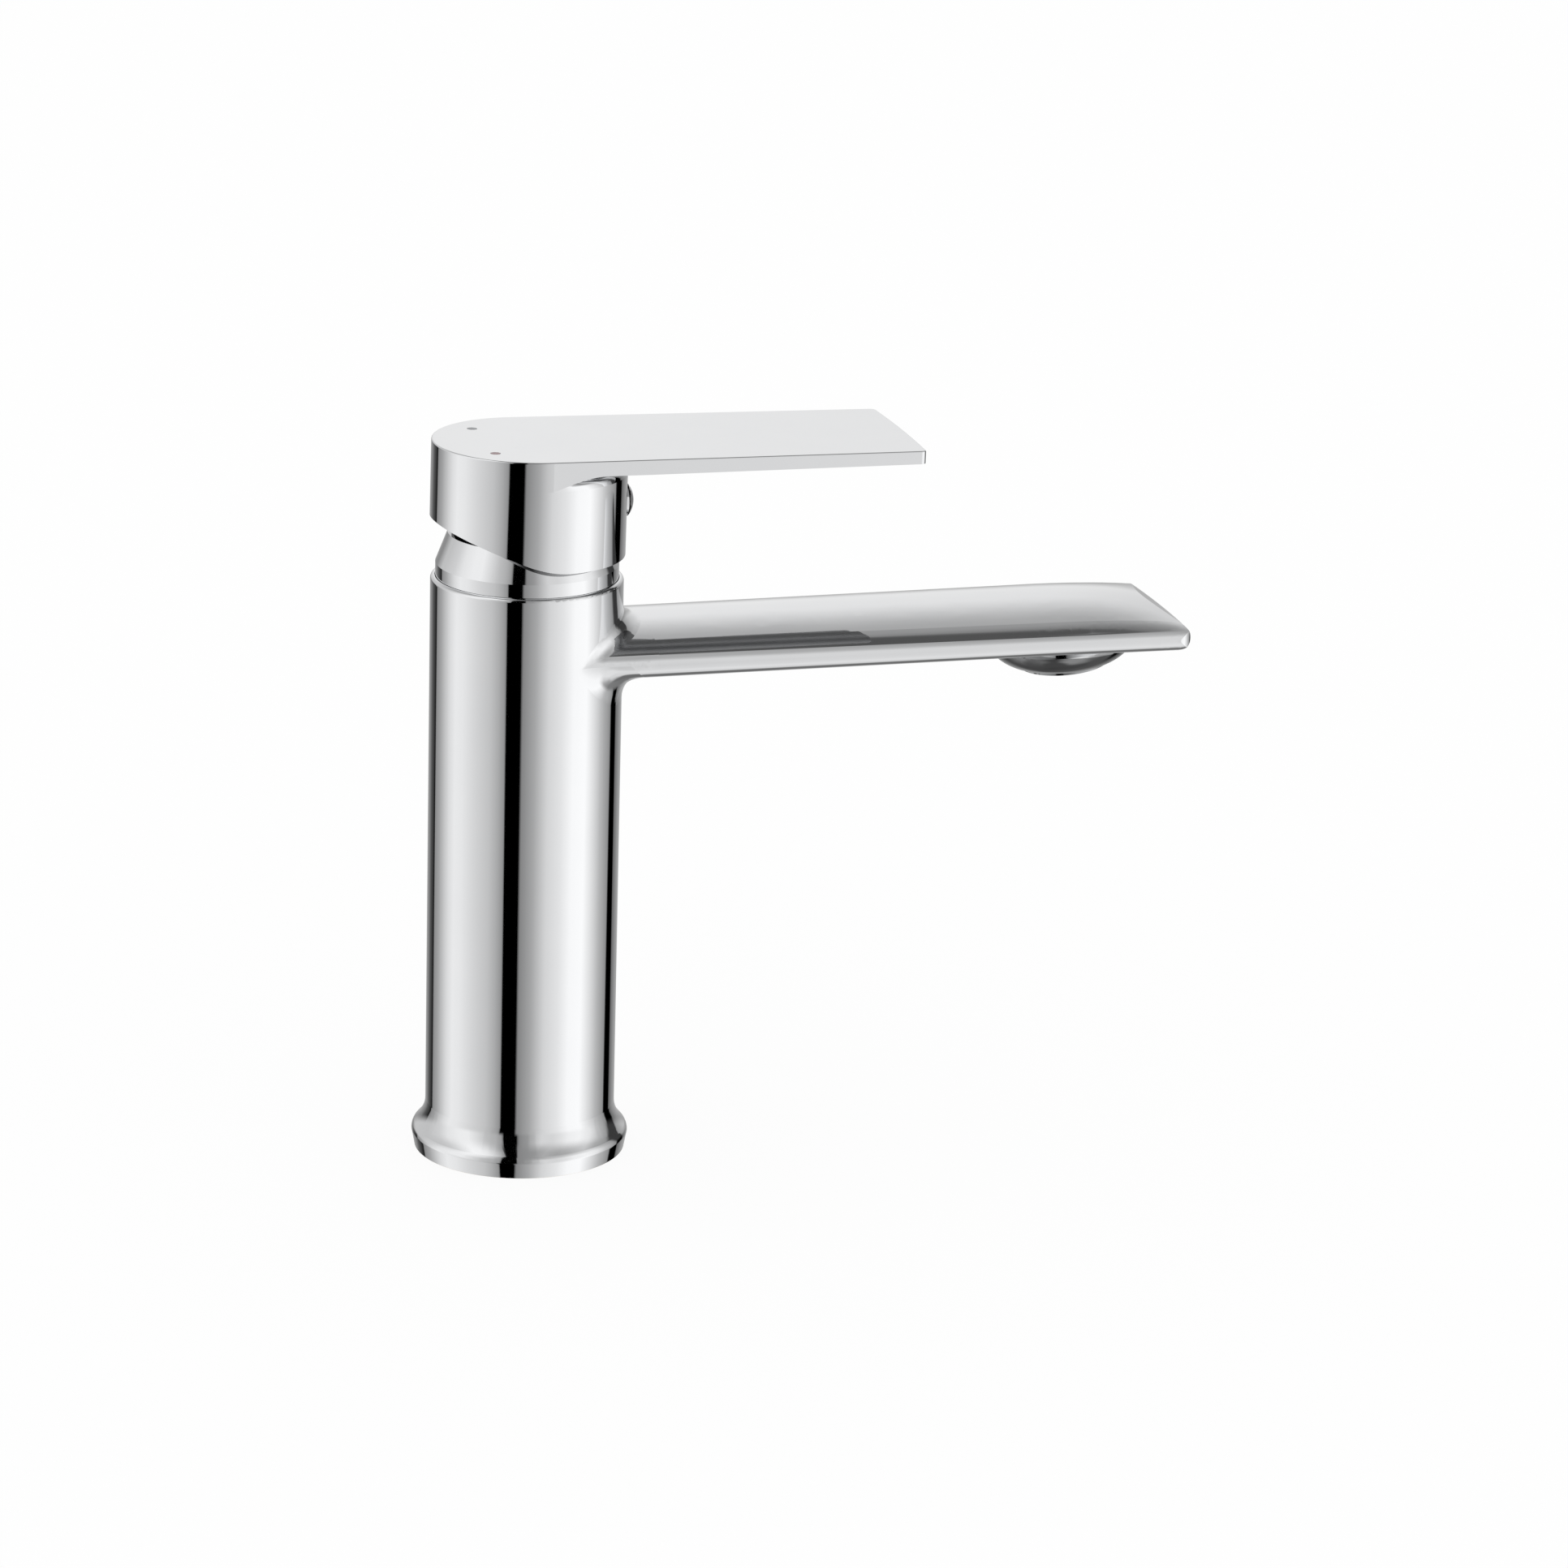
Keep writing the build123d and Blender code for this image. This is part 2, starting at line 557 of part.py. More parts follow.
def lever_plate():
    """The flat lever, slightly thinner towards its tip, with a rounded lower edge there."""
    end = lever_length + 2.0
    root = Line((-2 * handle_r, top_z - lever_root_t), (handle_r, top_z - lever_root_t))
    under = Line(root @ 1, (end, top_z - lever_tip_t))
    side = Polyline(under @ 1, (end, top_z), (-2 * handle_r, top_z), root @ 0)
    profile = Plane.XZ * make_face([root, under, side])
    slab = extrude(profile, 2 * handle_r, both=True)
    return Pos(0, 0, top_z - 10) * extrude(lever_plan(), 10) & slab


def skirt_profile():
    """Side view that trims the skirt: level at the front, cut away at the rear so that the lever can lift."""
    front_z = rim_z + skirt_gap
    reach = 2 * handle_r
    drop = reach * tan(radians(skirt_cut))
    lower = FilletPolyline((reach, front_z), (0.4, front_z), (-reach, front_z + drop), radius=skirt_bend)
    upper = Polyline(lower @ 1, (-reach, top_z), (reach, top_z), lower @ 0)
    return Plane.XZ * make_face([lower, upper])


def lever_root():
    """Hollow rounding between the skirt and the underside of the lever."""
    under = top_z - lever_root_t
    round_edge = RadiusArc((handle_r + skirt_fillet, under), (handle_r, under - skirt_fillet), -skirt_fillet)
    inner = Polyline(round_edge @ 1, (handle_r - 2, under - skirt_fillet), (handle_r - 2, under + 0.6),
                     (handle_r + skirt_fillet, under + 0.6), round_edge @ 0)
    collar = revolve(Plane.XZ * make_face([round_edge, inner]), Axis.Z)
    return collar & Pos(0, 0, under - 2 * skirt_fillet) * extrude(lever_plan(), 3 * skirt_fillet)


def make_handle():
    skirt = rod(handle_r, rim_z, top_z - rim_z) & extrude(skirt_profile(), 2 * handle_r, both=True)
    handle = skirt + lever_plate() + lever_root()
    top_edges = handle.faces().sort_by(Axis.Z)[-1].edges()
    handle = fillet(top_edges, lever_edge)
    roof_z = top_z - roof
    narrow_r = skirt_r - skirt_draft
    handle -= turned((0, rim_z), (skirt_r, rim_z), (skirt_r, neck_top_z), (narrow_r, neck_top_z + 6),
                     (narrow_r, roof_z), (0, roof_z))
    boss_z = screw_z - screw_r - 0.2
    boss = rod(socket_r, boss_z, roof_z - boss_z + 1)
    boss = chamfer(boss.faces().sort_by(Axis.Z)[0].edges(), 0.8)
    boss += cross_rod(screw_r + 1.7, 0, narrow_r + 0.5, screw_z)
    handle += boss & rod(handle_r - 0.5, boss_z, top_z - 1 - boss_z)
    half_x, half_y = stem_x / 2 + slide_fit, stem_y / 2 + slide_fit
    handle -= block(-half_x, half_x, half_y, rim_z, pivot_z + stem_top + 0.3)
    handle -= cross_rod(screw_r + slide_fit, 0, 2 * handle_r, screw_z)
    handle -= cross_rod(plug_r + slide_fit, handle_r - plug_seat, 2 * handle_r, screw_z)
    for side in (-1, 1):
        handle -= rod(dot_r + slide_fit, top_z - dot_depth, 1, dot_x, side * dot_y)
    return hung(handle)


def make_set_screw():
    """Grub screw with a hexagon socket: it clamps the handle on the stem."""
    start = stem_x / 2 + slide_fit
    screw = cross_rod(screw_r, start, start + screw_length, screw_z)
    key = extrude(RegularPolygon(1.25, 6), 3, both=True)
    return hung(screw - Pos(start + screw_length, 0, screw_z) * Rot(0, 90, 0) * key)


def make_plug_cap():
    """Domed plug over the set screw, with a short straight rim."""
    seat = handle_r - plug_seat + slide_fit
    edge = handle_r + plug_rim
    foot = plug_r - 0.3
    dome_r = (foot ** 2 + plug_dome ** 2) / (2 * plug_dome)
    half_turn = asin(foot / dome_r) / 2
    middle = (dome_r * sin(half_turn), edge + plug_dome - dome_r * (1 - cos(half_turn)))
    dome = ThreePointArc((foot, edge), middle, (0, edge + plug_dome))
    peg = screw_r - 0.1
    rest = Polyline(dome @ 1, (0, seat - 3.0), (peg, seat - 3.0), (peg, seat), (plug_r, seat),
                    (plug_r, edge - 0.3), dome @ 0)
    plug = revolve(Plane.XZ * make_face([dome, rest]), Axis.Z)
    return hung(Pos(0, 0, screw_z) * Rot(0, 90, 0) * plug)


def make_dot(side):
    return hung(rod(dot_r, top_z - dot_depth, dot_depth, dot_x, side * dot_y))


# ------------------------------------------------------------------ aerator
def make_aerator_sleeve():
    """Threaded sleeve with a proud rim, screwed into the bowl."""
    sleeve_r = aerator_thread_r - slide_fit
    inner_r = sleeve_r - sleeve_wall
    sleeve = rod(sleeve_r, 0, aerator_depth - 2.0) + rod(aerator_rim_r, -aerator_rim, aerator_rim)
    sleeve -= rod(inner_r, -1.6 * aerator_rim, 2 * aerator_depth)
    sleeve += ring(inner_r + 0.1, inner_r - sleeve_wall, -aerator_rim, aerator_rim - core_drop)
    return on_aerator_axis(sleeve)


def core_radius():
    return aerator_thread_r - 2 * slide_fit - sleeve_wall


def make_aerator_core():
    """Plastic core with a ring of slots and a honeycomb of holes."""
    core = rod(core_radius(), -core_drop, 3.85 + core_drop)
    pitch = 3.1
    for column in range(-3, 4):
        for line in range(-3, 4):
            x = pitch * (column + 0.5 * (line % 2))
            y = pitch * line * sin(radians(60))
            if x * x + y * y < (core_radius() - 2.2) ** 2:
                core -= Pos(x, y, -1) * extrude(RegularPolygon(1.15, 6), 8)
    return on_aerator_axis(core)


def make_aerator_screen():
    """Pierced strainer disc above the core."""
    screen = rod(core_radius(), 3.9, 0.6)
    hole = extrude(RegularPolygon(0.9, 6), 3)
    for count, radius in ((6, 3.0), (12, 6.0)):
        for i in range(count):
            angle = radians(360 * i / count)
            screen -= Pos(radius * cos(angle), radius * sin(angle), 3) * hole
    return on_aerator_axis(screen - Pos(0, 0, 3) * hole)


def make_aerator_gasket():
    top = aerator_depth - 0.1
    low = aerator_depth - 1.95
    return on_aerator_axis(ring(aerator_thread_r - slide_fit, aerator_thread_r - 2.6, low, top - low))


PIECES = {
    "body": make_body,
    "spout": make_spout,
    "inlet_block": make_inlet_block,
    "inlet_o_ring": lambda: o_ring(block_ring_z),
    "base_gasket": make_base_gasket,
    "cartridge_base": make_cartridge_base,
    "cartridge_seals": make_cartridge_seals,
    "fixed_disc": make_fixed_disc,
    "moving_disc": make_moving_disc,
    "disc_carrier": make_disc_carrier,
    "cartridge_housing": make_cartridge_housing,
    "housing_o_ring": lambda: o_ring(housing_ring_z),
    "stem_carrier": make_stem_carrier,
    "stem_pin": make_stem_pin,
    "stem": make_stem,
    "retaining_nut": make_retaining_nut,
    "shroud_ring": make_shroud_ring,
    "shroud": make_shroud,
    "handle": make_handle,
    "set_screw": make_set_screw,
    "plug_cap": make_plug_cap,
    "hot_dot": lambda: make_dot(-1),
    "cold_dot": lambda: make_dot(1),
    "aerator_sleeve": make_aerator_sleeve,
    "aerator_core": make_aerator_core,
    "aerator_screen": make_aerator_screen,
    "aerator_gasket": make_aerator_gasket,
}

os.makedirs("parts", exist_ok=True)
for name, make in PIECES.items():
    export_step(make(), f"parts/{name}.step")
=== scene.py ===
"""Looks of a single-lever basin mixer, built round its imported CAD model.

Metres. The column stands on the origin, +Z is up and +X points along the spout, as in the frame.
"""
from math import atan2, pi, radians, sin

import bpy
from mathutils import Matrix, Vector


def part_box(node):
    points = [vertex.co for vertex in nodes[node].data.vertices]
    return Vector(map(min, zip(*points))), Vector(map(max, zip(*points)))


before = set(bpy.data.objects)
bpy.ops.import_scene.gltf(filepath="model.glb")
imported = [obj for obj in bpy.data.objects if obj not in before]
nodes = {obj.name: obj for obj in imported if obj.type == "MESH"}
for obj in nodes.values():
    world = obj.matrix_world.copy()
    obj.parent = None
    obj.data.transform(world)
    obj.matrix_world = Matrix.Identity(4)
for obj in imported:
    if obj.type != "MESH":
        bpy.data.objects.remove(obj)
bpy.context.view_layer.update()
scene = bpy.context.scene
scene.view_settings.view_transform = "Standard"


# Camera: a long lens a good step away from the basin's edge, a little above the lever and turned to the
# near side of the spout. It hangs level apart from a slight roll.
camera_place = Vector((-0.302806, -1.264063, 0.488848))
camera_azimuth = radians(16.162)
camera_drop = radians(17.028)
camera_roll = radians(1.607)
focal_length = 132.79           # millimetres, as the sensor's width is
sensor_width = 36.0
nearest_seen = 0.05

camera_data = bpy.data.cameras.new("camera")
camera_data.lens = focal_length
camera_data.sensor_width = sensor_width
camera_data.clip_start = nearest_seen
camera = bpy.data.objects.new("camera", camera_data)
scene.collection.objects.link(camera)
aim = Matrix.Rotation(-camera_azimuth, 4, "Z") @ Matrix.Rotation(pi / 2 - camera_drop, 4, "X")
camera.matrix_world = Matrix.Translation(camera_place) @ aim @ Matrix.Rotation(camera_roll, 4, "Z")
scene.camera = camera


# Studio: tall white panels stand round the mixer, with a black gap beside the lens and one at each side
# behind the mixer. Chrome shows them, and everything else is lit by plain white light from all round.
# A row goes round the mixer: degrees anticlockwise from the lens, seen from above, and brightness.
PANEL_ROWS = {
    "under": [(-180, 0.12), (-120, 0.20), (-60, 0.35), (-25, 0.14), (-5, 0.14), (15, 0.45), (35, 0.68),
              (70, 0.64), (95, 0.42), (112, 0.16), (180, 0.12)],
    "floor": [(-180, 0.13), (-150, 0.14), (-130, 0.30), (-100, 0.62), (-60, 0.50), (-35, 0.40), (-23, 0.0),
              (-4, 0.0), (5, 0.25), (30, 0.72), (52, 0.74), (66, 0.60), (80, 0.35), (105, 0.20),
              (165, 0.16), (180, 0.13)],
    "low": [(-180, 0.45), (-167, 0.32), (-155, 0.20), (-148, 0.09), (-136, 0.01), (-134.5, 0.0), (-134, 0.24),
            (-122, 0.36), (-112, 0.53), (-102, 0.71), (-92, 0.82), (-80, 0.79), (-62, 0.66), (-42, 0.53),
            (-32, 0.41), (-24, 0.28), (-23, 0.0), (-4.5, 0.0), (-4, 0.22), (12, 0.38), (28, 0.65), (45, 0.77),
            (60, 0.94), (77, 0.97), (90, 0.74), (105, 0.46), (123, 0.25), (124, 0.0), (139, 0.0),
            (140, 0.13), (152, 0.26), (180, 0.45)],
    "high": [(-180, 0.77), (-170, 0.66), (-155, 0.54), (-125, 0.52), (-105, 0.62), (-92, 0.77), (-75, 0.84),
             (-62, 0.84), (-50, 0.68), (-38, 0.50), (-28, 0.42), (-20, 0.30), (-19, 0.0), (-2, 0.0),
             (-1, 0.22), (10, 0.31), (27, 0.66), (40, 0.66), (50, 0.74), (60, 0.85), (75, 0.90), (90, 0.78),
             (103, 0.50), (118, 0.30), (123, 0.04), (137, 0.04), (138, 0.30), (155, 0.52), (166, 0.62),
             (174, 0.73), (180, 0.77)],
    "top": [(-180, 0.29), (-150, 0.30), (-120, 0.36), (-95, 0.50), (-80, 0.76), (-68, 0.92), (-56, 0.88),
            (-44, 0.76), (-31, 0.50), (-22, 0.25), (-21, 0.0), (-3, 0.0), (-2, 0.23), (23, 0.29), (40, 0.40),
            (58, 0.34), (75, 0.36), (92, 0.46), (104, 0.24), (118, 0.15), (140, 0.18), (160, 0.28),
            (180, 0.29)],
}
PANEL_STRENGTH = 1.15

# Between two heights, in degrees above level, a row takes over from the one under it, and the dull ceiling
# from the top row. Straight down is the table's own glow.
ROW_EDGES = {"under": (-84, -77), "floor": (-67, -60), "low": (-52, -42), "high": (-9, 5), "top": (20, 62)}
CEILING_EDGE = (67, 73)
TABLE_GLOW = 0.15
CEILING_GLOW = 0.08


def add(tree, kind, inputs=None, **settings):
    """Adds a shader node. An input, named or numbered, is another node's output or a plain value."""
    made = tree.nodes.new(kind)
    for name, value in settings.items():
        setattr(made, name, value)
    for name, value in (inputs or {}).items():
        if isinstance(value, bpy.types.NodeSocket):
            tree.links.new(value, made.inputs[name])
        else:
            made.inputs[name].default_value = value
    return made


def blend(tree, factor, first, second):
    """Mixes two colours, each a node's output or a plain colour."""
    mixed = add(tree, "ShaderNodeMix", {0: factor, 6: first, 7: second}, data_type="RGBA")
    return mixed.outputs[2]


def grey(level):
    """A plain grey, from black at 0 to white at 1."""
    return (level, level, level, 1)


def rising(tree, height, edges):
    """0 below the first of two angles above level, 1 over the second, and smooth between them."""
    start, end = [sin(radians(edge)) for edge in edges]
    rise = add(tree, "ShaderNodeMapRange", {"Value": height, "From Min": start, "From Max": end},
               interpolation_type="SMOOTHSTEP")
    return rise.outputs[0]


world = bpy.data.worlds.new("studio")
scene.world = world
world.use_nodes = True
tree = world.node_tree
tree.nodes.clear()
direction = add(tree, "ShaderNodeTexCoord").outputs["Generated"]
to_lens = atan2(camera_place.y, camera_place.x)
turned = add(tree, "ShaderNodeMapping", {"Vector": direction, "Rotation": (0, 0, -to_lens)},
             vector_type="POINT")
parts = add(tree, "ShaderNodeSeparateXYZ", {0: turned.outputs[0]})
bearing = add(tree, "ShaderNodeMath", {0: parts.outputs["Y"], 1: parts.outputs["X"]}, operation="ARCTAN2")
around = add(tree, "ShaderNodeMath", {0: bearing.outputs[0], 1: 0.5 / pi, 2: 0.5}, operation="MULTIPLY_ADD")
glow = grey(TABLE_GLOW)

# A whole turn, from straight behind the mixer round to there again, runs from 0 to 1 along a row's ramp.
for row, stops in PANEL_ROWS.items():
    ramp = add(tree, "ShaderNodeValToRGB", {0: around.outputs[0]})
    marks = ramp.color_ramp.elements
    marks.remove(marks[0])
    marks[0].position = 0
    marks[0].color = grey(stops[0][1])
    for angle, level in stops[1:]:
        marks.new((angle + 180) / 360).color = grey(level)
    glow = blend(tree, rising(tree, parts.outputs["Z"], ROW_EDGES[row]), glow, ramp.outputs[0])
glow = blend(tree, rising(tree, parts.outputs["Z"], CEILING_EDGE), glow, grey(CEILING_GLOW))
panels = add(tree, "ShaderNodeBackground", {"Color": glow, "Strength": PANEL_STRENGTH})
plain = add(tree, "ShaderNodeBackground", {"Color": grey(1), "Strength": 1})
path = add(tree, "ShaderNodeLightPath")
studio = add(tree, "ShaderNodeMixShader", {0: path.outputs["Is Glossy Ray"], 1: plain.outputs[0],
                                           2: panels.outputs[0]})
add(tree, "ShaderNodeOutputWorld", {"Surface": studio.outputs[0]})


# Table: a large plain white sheet under the foot. To the lens it is nearly as white as the sweep behind
# it, so that it only keeps the mixer's soft shadow.
table_half = 3.0
table_white = 0.95
table_roughness = 0.8
table_share = 0.9               # of what the lens sees there, the part that is plain white
bpy.ops.object.select_all(action="DESELECT")
bpy.ops.mesh.primitive_plane_add(size=2 * table_half, location=(0, 0, 0))
table = bpy.context.object
table.name = "table"
table_paint = bpy.data.materials.new("white_table")
table_paint.use_nodes = True
tree = table_paint.node_tree
sheet = tree.nodes["Principled BSDF"]
sheet.inputs["Base Color"].default_value = grey(table_white)
sheet.inputs["Roughness"].default_value = table_roughness
white = add(tree, "ShaderNodeEmission", {"Strength": 1.0})
path = add(tree, "ShaderNodeLightPath")
share = add(tree, "ShaderNodeMath", {0: path.outputs["Is Camera Ray"], 1: table_share}, operation="MULTIPLY")
surface = add(tree, "ShaderNodeMixShader", {0: share.outputs[0], 1: sheet.outputs[0], 2: white.outputs[0]})
tree.links.new(surface.outputs[0], tree.nodes["Material Output"].inputs["Surface"])
table.data.materials.append(table_paint)
table.visible_glossy = False


# Body: the column with its flared foot and the root of the spout, one brass casting. The outside is
# polished and chrome plated, and inside the bore and under the foot the turned brass stays bare.
PLATE_DARK = (0.845, 0.852, 0.864, 1)
PLATE_LIGHT = (0.875, 0.880, 0.888, 1)
BRASS_DARK = (0.62, 0.44, 0.20, 1)
BRASS_LIGHT = (0.80, 0.62, 0.32, 1)
TOOL_MARKS = 700                # a metre
bore_radius = 0.0200
bore_roughness = 0.32
foot_face = 0.00002             # half the depth of what counts as the underside


def dress(name, paint):
    """Gives a CAD piece its finish."""
    for slot in nodes[name].material_slots:
        slot.material = paint


def finish(name, dark, light, roughness, grain, depth, metal=0.0):
    """Starts a material whose colour, gloss and surface vary with a grain of that many spots a metre."""
    clouds_over_spots = 12
    paint = bpy.data.materials.new(name)
    paint.use_nodes = True
    tree = paint.node_tree
    shader = tree.nodes["Principled BSDF"]
    shader.inputs["Metallic"].default_value = metal
    place = add(tree, "ShaderNodeTexCoord").outputs["Object"]
    spots = add(tree, "ShaderNodeTexNoise", {"Vector": place, "Scale": grain, "Detail": 3.0})
    clouds = add(tree, "ShaderNodeTexNoise", {"Vector": place, "Scale": grain / clouds_over_spots,
                                              "Detail": 2.0})
    colour = blend(tree, clouds.outputs["Fac"], dark, light)
    gloss = add(tree, "ShaderNodeMapRange", {"Value": spots.outputs["Fac"], "From Min": 0.3, "From Max": 0.7,
                                             "To Min": roughness[0], "To Max": roughness[1]})
    bump = add(tree, "ShaderNodeBump", {"Height": spots.outputs["Fac"], "Strength": 0.5, "Distance": depth})
    tree.links.new(colour, shader.inputs["Base Color"])
    tree.links.new(gloss.outputs[0], shader.inputs["Roughness"])
    tree.links.new(bump.outputs[0], shader.inputs["Normal"])
    return paint


def place_in(tree):
    """Place on the piece, in metres."""
    return tree.nodes["Texture Coordinate"].outputs["Object"]


def spot_in(tree):
    """X, Y and Z on the piece."""
    return add(tree, "ShaderNodeSeparateXYZ", {0: place_in(tree)}).outputs


def from_axis(tree):
    """Distance from the column's axis."""
    level = add(tree, "ShaderNodeVectorMath", {0: place_in(tree), 1: (1, 1, 0)}, operation="MULTIPLY")
    return add(tree, "ShaderNodeVectorMath", {0: level.outputs[0]}, operation="LENGTH").outputs["Value"]


def within(tree, value, low, high):
    """1 where the value is between two limits, and 0 elsewhere."""
    middle = (low + high) / 2
    half = (high - low) / 2
    return add(tree, "ShaderNodeMath", {0: value, 1: middle, 2: half}, operation="COMPARE").outputs[0]


def both(tree, first, second):
    """1 where two masks are both 1."""
    return add(tree, "ShaderNodeMath", {0: first, 1: second}, operation="MULTIPLY").outputs[0]


def either_of(tree, first, second):
    """1 where at least one of two masks is 1."""
    return add(tree, "ShaderNodeMath", {0: first, 1: second}, operation="MAXIMUM").outputs[0]


def chrome_plate(name):
    """Polished chrome: almost a mirror, with the faint unevenness that polishing leaves."""
    return finish(name, PLATE_DARK, PLATE_LIGHT, roughness=(0.025, 0.045), grain=900, depth=2.5e-7, metal=1.0)


def bare_metal_or_painted_shade(paint, bare_or_shade, dark, light, roughness):
    """Where the mask is 1, shows turned metal, or a darker, duller plate that is painted shade, instead of
    the polished plate.
    """
    tree = paint.node_tree
    shader = tree.nodes["Principled BSDF"]
    plate = shader.inputs["Base Color"].links[0].from_socket
    gloss = shader.inputs["Roughness"].links[0].from_socket
    marks = add(tree, "ShaderNodeTexWave", {"Vector": place_in(tree), "Scale": TOOL_MARKS,
                "Distortion": 1.5, "Detail": 2.0}, wave_type="BANDS", bands_direction="Z")
    metal = blend(tree, marks.outputs["Fac"], dark, light)
    tree.links.new(blend(tree, bare_or_shade, plate, metal), shader.inputs["Base Color"])
    rough = add(tree, "ShaderNodeMix", {0: bare_or_shade, 2: gloss, 3: roughness}, data_type="FLOAT")
    tree.links.new(rough.outputs[0], shader.inputs["Roughness"])


body_plate = chrome_plate("chromed_casting")
tree = body_plate.node_tree
inside = within(tree, from_axis(tree), 0, bore_radius)
under = within(tree, spot_in(tree)["Z"], -foot_face, foot_face)
bare_metal_or_painted_shade(body_plate, either_of(tree, inside, under), BRASS_DARK, BRASS_LIGHT, bore_roughness)
dress("body", body_plate)


# Spout: a flat brass casting with a crowned top and a threaded bowl under its tip, brazed into the root
# by a tenon. It is plated with the body, a little duller on the bowl, whose plate is darkened there with
# painted shade, and only the tenon and the waterway stay bare.
BOWL_SHADE_DARK = (0.285, 0.288, 0.292, 1)
BOWL_SHADE_LIGHT = (0.305, 0.308, 0.312, 1)
spout_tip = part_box("spout")[1][0]
spout_under = 0.1185
bowl_length = 0.060
bowl_roughness = 0.12
bare_roughness = 0.34
joint_gap = 0.0001
tenon_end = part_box("body")[1][0] - joint_gap
waterway_half = 0.0131
waterway_low = 0.1221
waterway_high = 0.1273
waterway_end = 0.1344
spout_plate = chrome_plate("chromed_spout")
tree = spout_plate.node_tree
spot = spot_in(tree)
tenon = within(tree, spot["X"], 0, tenon_end)
channel = both(tree, within(tree, spot["Y"], -waterway_half, waterway_half),
               within(tree, spot["Z"], waterway_low, waterway_high))
channel = both(tree, channel, within(tree, spot["X"], 0, waterway_end))
shaded_bowl = both(tree, within(tree, spot["X"], spout_tip - bowl_length, spout_tip),
            within(tree, spot["Z"], 0, spout_under))
# Painted shade: the bowl under the tip, which faces down, gets a dark grey plate.
bare_metal_or_painted_shade(spout_plate, shaded_bowl, BOWL_SHADE_DARK, BOWL_SHADE_LIGHT, bowl_roughness)
bare_metal_or_painted_shade(spout_plate, either_of(tree, tenon, channel), BRASS_DARK, BRASS_LIGHT, bare_roughness)
dress("spout", spout_plate)


# Inlet block: turned from brass bar, with the two hose threads below and the passages to the cartridge
# above. It drops into the column from the top, and its key keeps it from turning.
def turned_brass(name):
    """Brass straight from the lathe, with fine rings round the axis."""
    ring_depth = 1.5e-5
    paint = finish(name, BRASS_DARK, BRASS_LIGHT, roughness=(0.22, 0.36), grain=1400, depth=4e-6, metal=1.0)
    tree = paint.node_tree
    shader = tree.nodes["Principled BSDF"]
    rings = add(tree, "ShaderNodeTexWave", {"Vector": place_in(tree), "Scale": TOOL_MARKS,
                "Distortion": 0.6, "Detail": 1.0}, wave_type="RINGS", rings_direction="Z")
    fine = shader.inputs["Normal"].links[0].from_socket
    cut = add(tree, "ShaderNodeBump", {"Height": rings.outputs["Fac"], "Strength": 0.4,
                                       "Distance": ring_depth, "Normal": fine})
    tree.links.new(cut.outputs[0], shader.inputs["Normal"])
    return paint


dress("inlet_block", turned_brass("turned_brass"))


# O-rings and base gasket: black nitrile rubber. One ring seals the inlet block and one the cartridge in
# the bore, and the flat gasket beds the foot on the basin.
RUBBER_DARK = (0.016, 0.016, 0.017, 1)
RUBBER_LIGHT = (0.045, 0.045, 0.046, 1)
for name in ("inlet_o_ring", "housing_o_ring", "base_gasket"):
    rubber = finish(name + "_rubber", RUBBER_DARK, RUBBER_LIGHT, roughness=(0.42, 0.62), grain=2600,
                    depth=1.2e-5)
    dress(name, rubber)


# Cartridge base and its seals: a glass-filled white plastic plate with two locating pegs, and two flat
# rubber rings pressed into the counterbores under its inlets.
base_plastic = finish("base_plastic", dark=(0.70, 0.70, 0.67, 1), light=(0.82, 0.82, 0.79, 1),
                      roughness=(0.4, 0.55), grain=3000, depth=1e-5)
dress("cartridge_base", base_plastic)
seal_rubber = finish("seal_rubber", RUBBER_DARK, RUBBER_LIGHT, roughness=(0.42, 0.6), grain=2600, depth=1e-5)
dress("cartridge_seals", seal_rubber)


# Discs: two plates of sintered alumina, lapped flat so that they seal on each other. The lower one is
# fixed, and the upper one slides and turns on it to mix and to close.
for name in ("fixed_disc", "moving_disc"):
    ceramic = finish(name + "_ceramic", dark=(0.80, 0.78, 0.72, 1), light=(0.90, 0.885, 0.84, 1),
                     roughness=(0.12, 0.3), grain=5000, depth=3e-6)
    dress(name, ceramic)


# Disc carrier: a slider moulded in dark plastic, which sits on the moving disc and takes it along. Its
# collar holds the ball of the stem, so that lifting the lever slides the disc.
carrier_plastic = finish("carrier_plastic", dark=(0.20, 0.225, 0.25, 1), light=(0.28, 0.305, 0.335, 1),
                         roughness=(0.35, 0.5), grain=2600, depth=1e-5)
dress("disc_carrier", carrier_plastic)


# Cartridge housing and turret: a pale moulded shell and a dark grey one that snap together. The turret
# turns in the neck of the housing and carries the stem on a ground steel pin.
housing_plastic = finish("housing_plastic", dark=(0.66, 0.68, 0.68, 1), light=(0.77, 0.785, 0.78, 1),
                         roughness=(0.38, 0.55), grain=2600, depth=1.2e-5)
dress("cartridge_housing", housing_plastic)
turret_plastic = finish("turret_plastic", dark=(0.22, 0.245, 0.27, 1), light=(0.30, 0.325, 0.355, 1),
                        roughness=(0.3, 0.45), grain=2600, depth=8e-6)
dress("stem_carrier", turret_plastic)
STEEL_DARK = (0.48, 0.48, 0.49, 1)
STEEL_LIGHT = (0.64, 0.64, 0.65, 1)
ground_steel = finish("ground_steel", STEEL_DARK, STEEL_LIGHT, roughness=(0.16, 0.3), grain=4000, depth=2e-6,
                      metal=1.0)
dress("stem_pin", ground_steel)


# Stem: a square brass lever with a turned ball at its lower end. It swings on the steel pin in the
# turret, and the handle is clamped on its top.
dress("stem", turned_brass("stem_brass"))


# Retaining nut: turned brass with a hexagon, screwed into the body to press the cartridge on its seat.
# The shroud hides it.
dress("retaining_nut", turned_brass("nut_brass"))


